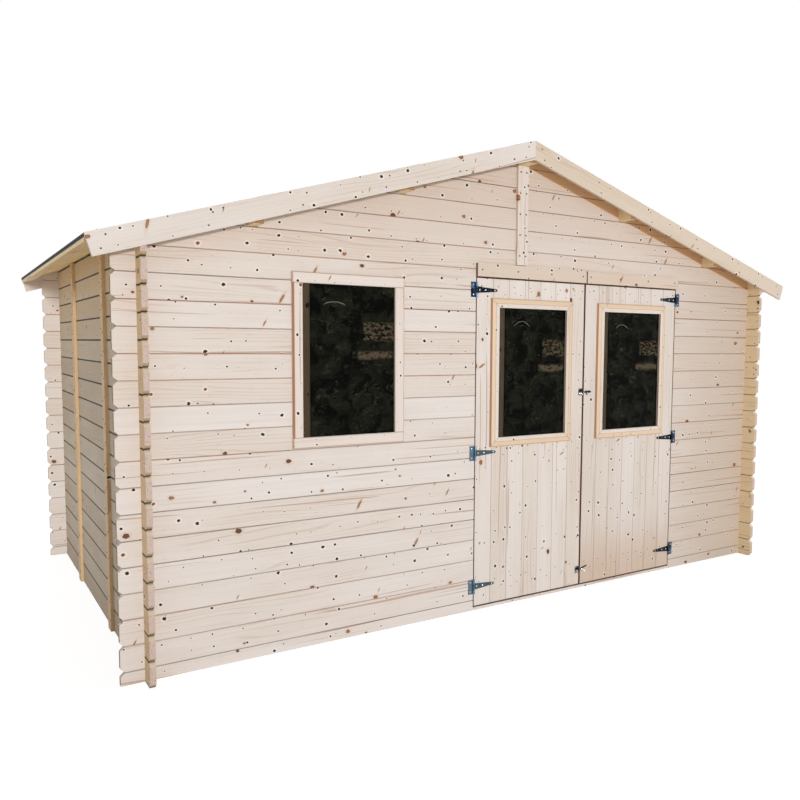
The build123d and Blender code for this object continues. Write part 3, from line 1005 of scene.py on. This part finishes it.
@dataclass
class Walls:
    """Wall boards and the battens screwed to them."""

    frame: dict
    pitch: float = 0.112
    courses: int = 17
    side_batten: float = 0.073
    screw_gap: float = 0.040
    screw_rise: float = 0.028
    screw_margin: float = 0.020

    def build(self) -> None:
        """Dresses the walls and drives the battens' screws."""
        under_roof = ROOF_HEIGHT * math.cos(ROOF_SLOPE)
        # Painted shade: the front boards darken towards the top under the roof, and a golden band just
        # below the roof slope stands for the shade under the bargeboard.
        front = Timber(
            "front_boards", Axis.X, Axis.Z, self.pitch, self.pitch / 2, seed=3.0, notched=True,
            end=tone(166, 144, 106), end_line=tone(112, 92, 60),
            drifts=(Drift(Axis.X, 0.7, 1.90, tone(197, 178, 160), 0.85),
                    Drift(Axis.Z, 1.70, 2.20, tone(212, 193, 178), 0.85),
                    Drift(Axis.Z, under_roof - 0.090, under_roof - 0.080, tone(232, 180, 122), 0.75,
                          -ROOF_SLOPE)))
        dress(self.frame, front.build(), "front_wall_left", "front_wall_right", "front_gable",
              "rear_wall", "rear_gable")
        # Painted light: the left wall's board ends that stand out past the front wall are lighter.
        painted_light_front_ends = Drift(Axis.Y, -1.205, -1.225, tone(232, 200, 156), 0.7)
        # Painted shade: the left wall's tones are darker than the other walls' to stand for the shade on
        # that side, and the wall darkens towards the top under the eave and towards the front corner behind
        # the projecting board ends.
        left = Timber("left_boards", Axis.Y, Axis.Z, self.pitch, 0.0, pale=tone(201, 188, 168),
                      warm=tone(182, 160, 132), seed=11.0, notched=True, joint=2.2, joint_reach=0.0060,
                      knottiness=1.2, joint_tones=(tone(40, 32, 26), tone(56, 42, 32)),
                      end=tone(219, 200, 190),
                      drifts=(Drift(Axis.Z, 1.2, 1.9, tone(206, 176, 128)),
                              Drift(Axis.Y, -0.80, -1.05, tone(164, 146, 108), 0.6), painted_light_front_ends))
        dress(self.frame, left.build(), "left_wall")
        # Painted light: the right wall's board ends that stand out past the front wall are lighter and
        # golden, as if lit by light bounced off the front wall.
        painted_light_golden_ends = Drift(Axis.Y, -1.10, -1.225, tone(255, 232, 190), 0.95)
        right = Timber("right_boards", Axis.Y, Axis.Z, self.pitch, 0.0, pale=tone(232, 218, 200),
                       warm=tone(222, 202, 178), seed=13.0, notched=True, joint=1.3, knottiness=1.4,
                       drifts=(painted_light_golden_ends,))
        dress(self.frame, right.build(), "right_wall")
        upright = Timber("battens", Axis.Z, Axis.Y, seed=5.0, pale=tone(226, 196, 156),
                         warm=tone(216, 180, 132), joint=0.0)
        dress(self.frame, upright.build(), "left_wall_battens", "right_wall_battens")
        gable = Timber("gable_battens", Axis.Z, Axis.X, seed=8.0, joint=0.0)
        dress(self.frame, gable.build(), "gable_battens")
        self._screw_battens()

    def _screw_battens(self) -> None:
        """Drives two screws a board into each batten."""
        fixings = Fixings(ScrewHead(), Metal(Plating.DARK_STEEL).build())
        half = self.screw_gap / 2
        low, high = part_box("gable_battens")
        first, last = int(low.z // self.pitch) + 1, int(high.z // self.pitch)
        rows = [self.pitch * n + self.screw_rise for n in range(first, last + 1)]
        fixings.drive("gable_batten_screws", "root",
                      [((x, y, z), way) for z in rows for x in (-half, half)
                       for y, way in ((low.y, FRONT), (high.y, BACK))
                       if low.z + self.screw_margin < z < high.z - self.screw_margin])
        places = []
        for node, way in (("left_wall_battens", -1), ("right_wall_battens", 1)):
            low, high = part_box(node)
            x = low.x if way < 0 else high.x
            for y in (low.y + self.side_batten / 2, high.y - self.side_batten / 2):
                for n in range(self.courses):
                    z = self.pitch * (n + 0.5)
                    shift = half if n % 2 else -half
                    places += [((x, y + shift, z), (way, 0, 0)), ((x, y - shift, z - half), (way, 0, 0))]
        fixings.drive("side_batten_screws", "root", places)


@dataclass
class Roof:
    """Roof boards, purlins, felt, eave battens and bargeboards, with x measured level from the ridge."""

    frame: dict
    board_rise: float = 0.01253
    felt_rise: float = 0.00313
    run: float = 2.204
    end: float = 1.318
    course: float = 0.760
    cap_nails: float = 0.135
    lap_margin: float = 0.022
    eave_margin: float = 0.030
    end_margin: float = 0.020
    board_screws: tuple[tuple[float, float], tuple[float, float]] = ((-0.008, 0.0), (-0.058, 0.018))

    def build(self) -> None:
        """Dresses the roof and drives its fixings."""
        boards = Timber("roof_boards", Axis.X, Axis.Y, 0.095, 0.0, pale=tone(255, 234, 180),
                        warm=tone(252, 216, 152), seed=21.0)
        dress(self.frame, boards.build(), "roof_boards_left", "roof_boards_right")
        beams = Timber("roof_beams", Axis.Y, Axis.X, pale=tone(246, 222, 178), warm=tone(236, 202, 150),
                       seed=27.0, joint=0.0, end=tone(176, 134, 88), end_line=tone(120, 84, 50))
        dress(self.frame, beams.build(), "ridge_purlin", "side_purlins", "eave_batten_left",
              "eave_batten_right")
        dress(self.frame, RoofingFelt().build(), "felt_left", "felt_right")
        for hand, turn, seed, pale, warm in (
                ("left", ROOF_SLOPE, 31.0, tone(227, 218, 210), tone(220, 206, 193)),
                ("right", -ROOF_SLOPE, 37.0, tone(221, 206, 189), tone(214, 196, 174))):
            board = Timber(f"bargeboard_{hand}", Axis.X, Axis.Z, turn=turn, seed=seed, pale=pale, warm=warm,
                           joint=0.0)
            dress(self.frame, board.build(), f"bargeboard_front_{hand}", f"bargeboard_rear_{hand}")
        self._screw_bargeboards()
        self._nail_felt()

    @staticmethod
    def _on_slope(x: float, rise: float) -> float:
        """Height of a line that follows the roof boards' underside, raised by an amount."""
        return ROOF_HEIGHT - abs(x) * math.tan(ROOF_SLOPE) + rise

    def _screw_bargeboards(self) -> None:
        """Drives pairs of almost flush screws along the four bargeboards."""
        head = ScrewHead(0.0050, recess=0.00003, proud=0.00005)
        fixings = Fixings(head, Metal(Plating.DARK_STEEL).build(), seed=2)
        places = []
        for node, way in (("bargeboard_front_left", FRONT), ("bargeboard_rear_left", BACK)):
            low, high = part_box(node)
            y = low.y if way is FRONT else high.y
            for x in steps(0.045, 2.13, 6):
                for side in (-1, 1):
                    for rise, shift in self.board_screws:
                        places.append(((side * (x + shift), y, self._on_slope(x + shift, rise)), way))
        fixings.drive("bargeboard_screws", "root", places)

    def _nail_felt(self) -> None:
        """Drives clout nails along the felt's edges and laps."""
        fixings = Fixings(NailHead(0.0048, 0.0012), Metal(Plating.CLOUT).build(), seed=3)
        end = self.end - self.end_margin
        lines = ((self.cap_nails, 2), (self.course - self.lap_margin, 2),
                 (2 * self.course - self.lap_margin, 2), (self.run - self.eave_margin, 1))
        places = []
        for side in (-1, 1):
            way = (side * math.sin(ROOF_SLOPE), 0, math.cos(ROOF_SLOPE))
            for x, layers in lines:
                z = self._on_slope(x, self.board_rise + layers * self.felt_rise)
                places += [((side * x, y, z), way)
                           for y in steps(self.eave_margin - self.end, self.end - self.eave_margin, 18)]
            for y in (-end, end):
                places += [((side * x, y, self._on_slope(x, self.board_rise + self.felt_rise)), way)
                           for x in steps(0.25, 2.1, 13)]
        fixings.drive("felt_nails", "root", places)


@dataclass
class Window:
    """One glazed opening with its casing, pane and inner frame."""

    frame: dict
    name: str
    body: str
    casing: str
    corner: Corner = Corner.MITRED
    casing_width: float = 0.050
    slope_from: float = 0.0
    stile_width: float = 0.050
    stile_depth: float = 0.010
    stile_gap: float = 0.002
    pin_inset: float = 0.011
    seed: float = 50.0

    def build(self) -> None:
        """Dresses the window and adds the stile behind its pane."""
        low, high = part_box(self.casing)
        inset = Vector((self.casing_width, 0, self.casing_width))
        low, high = low + inset, high - inset
        centre = ((low.x + high.x) / 2, (low.z + high.z) / 2)
        size = (high.x - low.x, high.z - low.z)
        wood = FramedTimber(f"{self.name}_casing_wood", Axis.X, Axis.Z, centre=centre, opening=size,
                            width=self.casing_width, corner=self.corner, slope_from=self.slope_from,
                            seed=self.seed, pale=tone(231, 220, 211), warm=tone(224, 207, 193))
        dress(self.frame, wood.build(), self.casing, self.casing.replace("casing", "inner_frame"))
        glass = DarkGlass(f"{self.name}_glass", (low.x, low.z), (high.x, high.z), self.stile_width)
        dress(self.frame, glass.build(), self.casing.replace("casing", "glass"))
        self._stile(low, high)
        self._pins(low, high)

    def _stile(self, low: Vector, high: Vector) -> None:
        """Models the upright that stands behind the pane's left edge.

        Args:
            low: Lowest corner of the opening.
            high: Highest corner of the opening.
        """
        glass_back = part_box(self.casing.replace("casing", "glass"))[1].y
        deselect_all()
        bpy.ops.mesh.primitive_cube_add(size=1.0, location=(
            low.x + self.stile_width / 2, glass_back + self.stile_gap + self.stile_depth / 2,
            (low.z + high.z) / 2))
        stile = bpy.context.object
        stile.scale = (self.stile_width, self.stile_depth, high.z - low.z)
        settle(stile)
        with editing(stile):
            select_faces(stile, lambda face: face.normal.y < -0.9)
            bpy.ops.mesh.inset(thickness=0.006, depth=-0.002)
        soften(stile, 0.0012)
        stile.name = f"{self.name}_stile"
        wood = Timber(f"{self.name}_stile_wood", Axis.Z, Axis.X, seed=self.seed + 3, joint=0.0,
                      pale=tone(232, 204, 168), warm=tone(214, 178, 134))
        finish_piece(stile, wood.build(), self.body)

    def _pins(self, low: Vector, high: Vector) -> None:
        """Drives small pins along the casing.

        Args:
            low: Lowest corner of the opening.
            high: Highest corner of the opening.
        """
        fixings = Fixings(NailHead(0.0017, 0.0006), Metal(Plating.DARK_STEEL).build(), seed=5)
        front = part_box(self.casing)[0].y
        places = []
        for x in (low.x - self.pin_inset, high.x + self.pin_inset):
            places += [((x, front, z), FRONT) for z in steps(low.z + 0.05, high.z - 0.05, 4)]
        for z in (low.z - self.pin_inset, high.z + self.pin_inset):
            places += [((x, front, z), FRONT) for x in steps(low.x + 0.06, high.x - 0.06, 3)]
        fixings.drive(f"{self.name}_casing_pins", self.body, places)


@dataclass
class Doorway:
    """Sill, jambs, head and head trims."""

    frame: dict
    screw_rise: float = 0.036
    screw_inset: float = 0.030

    def build(self) -> None:
        """Dresses the doorway and screws its trims."""
        posts = Timber("door_posts", Axis.Z, Axis.X, seed=61.0, joint=0.0)
        dress(self.frame, posts.build(), "door_jamb_left", "door_jamb_right")
        rails = Timber("door_rails", Axis.X, Axis.Z, seed=65.0, joint=0.0)
        dress(self.frame, rails.build(), "door_head", "door_sill")
        # Painted shade: the trims' end grain is dark so that the slot between the two trims reads dark.
        trims = Timber("door_trims", Axis.X, Axis.Z, seed=69.0, joint=0.0, pale=tone(218, 200, 183),
                       warm=tone(210, 190, 169), end=tone(116, 76, 50), end_line=tone(90, 58, 38))
        dress(self.frame, trims.build(), "door_head_trims")
        low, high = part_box("door_head_trims")
        middle = (low.x + high.x) / 2
        fixings = Fixings(ScrewHead(), Metal(Plating.DARK_STEEL).build(), seed=7)
        fixings.drive("door_trim_screws", "root",
                      [((x, low.y, low.z + self.screw_rise), FRONT)
                       for first, last in ((low.x, middle), (middle, high.x))
                       for x in steps(first + self.screw_inset, last - self.screw_inset, 4)])


@dataclass
class Leaf:
    """One door leaf with its boards, ledges, window, straps and latch parts."""

    frame: dict
    hand: str
    pivot: float
    into: int
    boards: int = 7
    strap_screws: tuple[float, float, float] = (0.021, 0.060, 0.122)
    strap_reach: float = 0.150
    nails: tuple[tuple[float, float], tuple[float, float]] = ((0.30, 0.022), (0.72, -0.020))

    @property
    def body(self) -> str:
        """Body that the leaf is."""
        return f"{self.hand}_door"

    def build(self) -> None:
        """Dresses the leaf and adds its fixings."""
        low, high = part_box(f"{self.hand}_door_boards")
        shade = (1 - self.into) // 2  # 0 on the left leaf, 1 on the right one
        wood = LeafTimber(
            f"{self.hand}_door_wood", Axis.Z, Axis.X, (high.x - low.x) / self.boards, low.x,
            pale=tone(*(level - 4 * shade for level in (231, 222, 215))),
            warm=tone(*(level - 4 * shade for level in (222, 209, 197))), edge=tone(150, 94, 54),
            drifts=(Drift(Axis.Z, 0.42, 0.06, tone(206, 180, 158), 0.7 * shade),),
            seed=71.0 + self.into, joint=0.45, low=(low.x, low.z), high=(high.x, high.z))
        dress(self.frame, wood.build(), f"{self.hand}_door_boards")
        rails = Timber(f"{self.hand}_ledge_wood", Axis.X, Axis.Z, seed=77.0 + self.into, joint=0.0)
        dress(self.frame, rails.build(), f"{self.hand}_door_ledges")
        Window(self.frame, f"{self.hand}_door", self.body, f"{self.hand}_door_casing", slope_from=0.022,
               seed=81.0 + self.into).build()
        greyer = Drift(Axis.Z, 1.5, 1.2, tone(92, 108, 110), 0.7 * (1 - shade))
        dress(self.frame, Metal(Plating.DARK_ZINC, (greyer,)).build(), f"{self.hand}_hinge_straps")
        dress(self.frame, Metal(Plating.DARK_ZINC).build(), f"{self.hand}_door_latches")
        self._screw_straps()
        self._nail_ledges(low, high)

    def _screw_straps(self) -> None:
        """Drives three screws into each strap."""
        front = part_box(f"{self.hand}_door_boards")[0].y - HINGE_SHEET
        fixings = Fixings(ScrewHead(0.0040, 0.0016), Metal(Plating.BRIGHT_ZINC).build(), seed=9)
        fixings.drive(f"{self.hand}_strap_screws", self.body,
                      [((self.pivot + self.into * reach, front, z), FRONT)
                       for z in HINGE_HEIGHTS for reach in self.strap_screws])

    def _nail_ledges(self, low: Vector, high: Vector) -> None:
        """Nails each board to the ledges behind it, beside or above the straps.

        Args:
            low: Lowest corner of the boards.
            high: Highest corner of the boards.
        """
        fixings = Fixings(NailHead(0.0030, 0.0006), Metal(Plating.DARK_STEEL).build(), seed=11)
        board = (high.x - low.x) / self.boards
        places = []
        for middle in HINGE_HEIGHTS:
            for n in range(self.boards):
                for share, rise in self.nails:
                    x = low.x + (n + share) * board
                    if abs(x - self.pivot) > self.strap_reach or rise > 0:
                        places.append(((x, low.y, middle + rise), FRONT))
        fixings.drive(f"{self.hand}_ledge_nails", self.body, places)


@dataclass(frozen=True)
class Lever:
    """Flat lever: reach and drop of its middle from the bolt's end, turn from level, length and width."""

    reach: float
    drop: float
    lean: float
    length: float
    width: float


@dataclass
class Latches:
    """Small forged fittings that stand on the latch plates of both leaves."""

    plate_half: float = 0.020
    sheet: float = 0.0025
    ring: float = 0.0075
    wire: float = 0.0018
    ring_place: tuple[float, float, float] = (-0.003, -0.0075, -0.008)
    rivet_inset: float = 0.005
    rivet_rise: float = 0.015
    bolt_half: float = 0.0045
    bolt_front: float = 0.0060
    lower_rise: float = 0.010
    lever: Lever = Lever(0.018, 0.008, math.radians(-38), 0.030, 0.0080)
    hook: Lever = Lever(0.014, 0.010, math.radians(-48), 0.020, 0.0050)
    lever_sheet: float = 0.0030
    saddle: tuple[float, float, float] = (0.0050, 0.0030, 0.0120)
    saddle_foot: float = 0.0025
    saddle_reach: tuple[float, float] = (0.012, 0.034)

    def build(self) -> None:
        """Adds the fittings of both leaves."""
        bright, dark = Metal(Plating.BRIGHT_ZINC).build(), Metal(Plating.DARK_ZINC).build()
        low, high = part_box("left_door_latches")
        middle = (low.x + high.x) / 2
        levels = (low.z + self.plate_half, high.z - self.plate_half)
        rings = [self._ring(Vector((middle, high.y, z)) + Vector(self.ring_place)) for z in levels]
        self._fit("left_latch_rings", rings, bright, "left_door")
        rivets = Fixings(NailHead(0.0026, 0.0012), bright, seed=15)
        rivets.drive("left_latch_rivets", "left_door",
                     [((low.x + self.rivet_inset, high.y - self.sheet, z + rise), FRONT)
                      for z in levels for rise in (-self.rivet_rise, self.rivet_rise)])
        low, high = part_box("right_door_latches")
        front = high.y - self.bolt_front
        bolt = Vector((low.x, front, high.z - self.bolt_half))
        lower = Vector((low.x, front, low.z + self.lower_rise))
        self._fit("right_latch_lever", [self._lever(lower, self.lever)], bright, "right_door")
        hook = self._lever(bolt, self.hook)
        saddles = [self._saddle(bolt + Vector((reach, 0, 0))) for reach in self.saddle_reach]
        self._fit("right_latch_saddles", [*saddles, hook], dark, "right_door")

    def _ring(self, place: Vector) -> bpy.types.Object:
        """Models a wire ring that hangs flat against the plate."""
        deselect_all()
        bpy.ops.mesh.primitive_torus_add(location=place, rotation=(math.radians(90), 0, 0),
                                         major_segments=20, minor_segments=8,
                                         major_radius=self.ring, minor_radius=self.wire)
        ring = bpy.context.object
        settle(ring)
        return ring

    def _lever(self, end: Vector, kind: Lever) -> bpy.types.Object:
        """Models a short flat thumb lever with rounded ends.

        Args:
            end: The bolt's end.
            kind: Its sizes.

        Returns:
            The lever.
        """
        deselect_all()
        bpy.ops.mesh.primitive_cube_add(size=1.0)
        lever = bpy.context.object
        lever.scale = (kind.length, self.lever_sheet, kind.width)
        settle(lever)
        with editing(lever):
            select_faces(lever, lambda face: abs(face.normal.x) > 0.9)
            bpy.ops.mesh.inset(thickness=kind.width * 0.2, depth=kind.width * 0.35)
        with editing(lever):
            select_faces(lever, lambda face: face.normal.y < -0.9)
            bpy.ops.mesh.inset(thickness=kind.width * 0.18, depth=-0.0005)
        lever.rotation_euler = (0, -kind.lean, 0)
        lever.location = end + Vector((kind.reach, 0, -kind.drop))
        settle(lever)
        soften(lever, 0.0006)
        return lever

    def _saddle(self, place: Vector) -> bpy.types.Object:
        """Models a strap that is bent over the bolt.

        Args:
            place: Its middle, on the bolt's front.

        Returns:
            The saddle.
        """
        deselect_all()
        bpy.ops.mesh.primitive_cube_add(size=1.0, location=place)
        saddle = bpy.context.object
        saddle.scale = self.saddle
        settle(saddle)
        with editing(saddle):
            select_faces(saddle, lambda face: abs(face.normal.z) > 0.9)
            bpy.ops.mesh.extrude_region_move(TRANSFORM_OT_translate={"value": (0, self.saddle_foot, 0)})
            bpy.ops.transform.resize(value=(1.0, 1.0, 1.35))
        soften(saddle, 0.0007)
        return saddle

    @staticmethod
    def _fit(name: str, parts: list[bpy.types.Object], material: bpy.types.Material, body: str) -> None:
        """Makes one smooth, dressed piece of several parts.

        Args:
            name: Name of the piece.
            parts: The parts.
            material: Its finish.
            body: Body that it rides on.
        """
        whole = joined(name, parts)
        bpy.ops.object.shade_smooth_by_angle(angle=math.radians(40))
        finish_piece(whole, material, body)


@dataclass
class HingePlates:
    """Plates on the wall with the pins that the straps turn on."""

    frame: dict
    plate_middle: float = 0.020
    screw_rise: float = 0.026

    def build(self) -> None:
        """Dresses the plates and screws them to the wall."""
        # Painted highlight: the first drift turns the left hinge pins bright blue.
        finish = Metal(Plating.BLUE_ZINC, (Drift(Axis.X, -0.304, -0.300, tone(104, 138, 176), 0.8),
                                           Drift(Axis.Z, 1.5, 1.2, tone(112, 130, 136), 0.7),
                                           Drift(Axis.X, 0.4, 0.5, tone(26, 30, 38), 0.9)))
        dress(self.frame, finish.build(), "hinge_plates")
        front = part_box("front_wall_left")[0].y - HINGE_SHEET
        fixings = Fixings(ScrewHead(0.0042, 0.0016), Metal(Plating.BRIGHT_ZINC).build(), seed=13)
        fixings.drive("hinge_plate_screws", "root",
                      [((pivot + away * self.plate_middle, front, z + end * self.screw_rise), FRONT)
                       for pivot, away in ((LEFT_PIVOT, -1), (RIGHT_PIVOT, 1))
                       for z in HINGE_HEIGHTS for end in (-1, 1)])


# Studio


@dataclass
class Studio:
    """Pale floor, soft light, white surroundings and the camera."""

    sky: float = 0.44
    sun: float = 1.47
    sun_softness: float = 4.0
    sun_from: tuple[float, float, float] = (-0.085, -1.0, 0.045)
    fill: float = 1.4
    fill_softness: float = 40.0
    fill_from: tuple[float, float, float] = (0.25, 0.50, 0.83)
    floor: float = 120.0
    floor_level: float = -0.001
    glow: float = 1.22
    glow_share: float = 0.74
    room: tuple[float, float] = (1.9875, 1.2075)
    image: float = 800.0
    focal_pixels: float = 784.22
    centre_pixels: tuple[float, float] = (453.4, 406.8)
    sensor: float = 36.0
    eye: tuple[float, float, float] = (-2.692, -4.655, 1.450)
    ahead: tuple[float, float, float] = (0.5476, 0.8330, -0.0797)
    right: tuple[float, float, float] = (0.8359, -0.5487, 0.0082)

    def build(self) -> None:
        """Makes everything round the shed."""
        self._surroundings()
        self._floor()
        self._lamp("front_lamp", self.sun, self.sun_softness, self.sun_from)
        self._lamp("rear_lamp", self.fill, self.fill_softness, self.fill_from)
        self._camera()

    def _surroundings(self) -> None:
        """Lights the shed evenly, and shows white to the camera and in reflections."""
        graph = Graph("studio", world=True)
        bpy.context.scene.world = graph.owner
        strength = graph.node("ShaderNodeMapRange", {},
                              {"Value": graph.seen(), "To Min": self.sky, "To Max": 1.0})
        graph.end(graph.node("ShaderNodeBackground", {}, {"Color": WHITE, "Strength": strength}))

    def _floor(self) -> None:
        """Lays a white floor that keeps a soft shadow, and is plainly lit between the walls."""
        deselect_all()
        bpy.ops.mesh.primitive_plane_add(size=self.floor, location=(0, 0, self.floor_level))
        floor = bpy.context.object
        floor.name = "studio_floor"
        settle(floor)
        graph = Graph("studio_floor")
        matt = graph.node("ShaderNodeBsdfDiffuse", {}, {"Color": (0.9, 0.9, 0.9, 1.0)})
        glow = graph.node("ShaderNodeEmission", {}, {"Color": WHITE, "Strength": self.glow})
        x, y, _ = graph.place()
        outside = x.size().over(self.room[0]).math("MAXIMUM", y.size().over(self.room[1]))
        share = graph.seen() * outside * self.glow_share
        graph.end(graph.node("ShaderNodeMixShader", {}, {0: share, 1: matt, 2: glow}))
        floor.data.materials.append(graph.owner)

    @staticmethod
    def _lamp(name: str, energy: float, softness: float, source: tuple[float, float, float]) -> None:
        """Hangs one large soft lamp.

        Args:
            name: Name of the lamp.
            energy: Its strength.
            softness: How wide it looks, in degrees.
            source: Direction that its light comes from.
        """
        lamp = bpy.data.lights.new(name, "SUN")
        lamp.energy = energy
        lamp.angle = math.radians(softness)
        holder = bpy.data.objects.new(name, lamp)
        bpy.context.collection.objects.link(holder)
        holder.rotation_mode = "QUATERNION"
        holder.rotation_quaternion = Vector(source).to_track_quat("Z", "Y")

    def _camera(self) -> None:
        """Stands the camera at the front left, at eye height."""
        scene = bpy.context.scene
        camera = bpy.data.objects.new("camera", bpy.data.cameras.new("camera"))
        scene.collection.objects.link(camera)
        ahead = Vector(self.ahead).normalized()
        right = Vector(self.right)
        right = (right - ahead * right.dot(ahead)).normalized()
        turn = Matrix((right, right.cross(ahead), -ahead)).transposed()
        camera.matrix_world = Matrix.Translation(self.eye) @ turn.to_4x4()
        camera.data.sensor_width = self.sensor
        camera.data.lens = self.focal_pixels * self.sensor / self.image
        camera.data.shift_x = (self.image / 2 - self.centre_pixels[0]) / self.image
        camera.data.shift_y = (self.centre_pixels[1] - self.image / 2) / self.image
        scene.camera = camera
        scene.view_settings.view_transform = "Standard"


def main() -> None:
    """Builds the finished shed."""
    logging.basicConfig(level=logging.INFO, format="%(name)s %(message)s")
    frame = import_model()
    Studio().build()
    Walls(frame).build()
    Roof(frame).build()
    Window(frame, "fixed_window", "root", "window_casing", Corner.BUTTED, stile_width=0.042).build()
    Doorway(frame).build()
    HingePlates(frame).build()
    Leaf(frame, "left", LEFT_PIVOT, 1).build()
    Leaf(frame, "right", RIGHT_PIVOT, -1).build()
    Latches().build()
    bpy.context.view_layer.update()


if __name__ == "__main__":
    main()
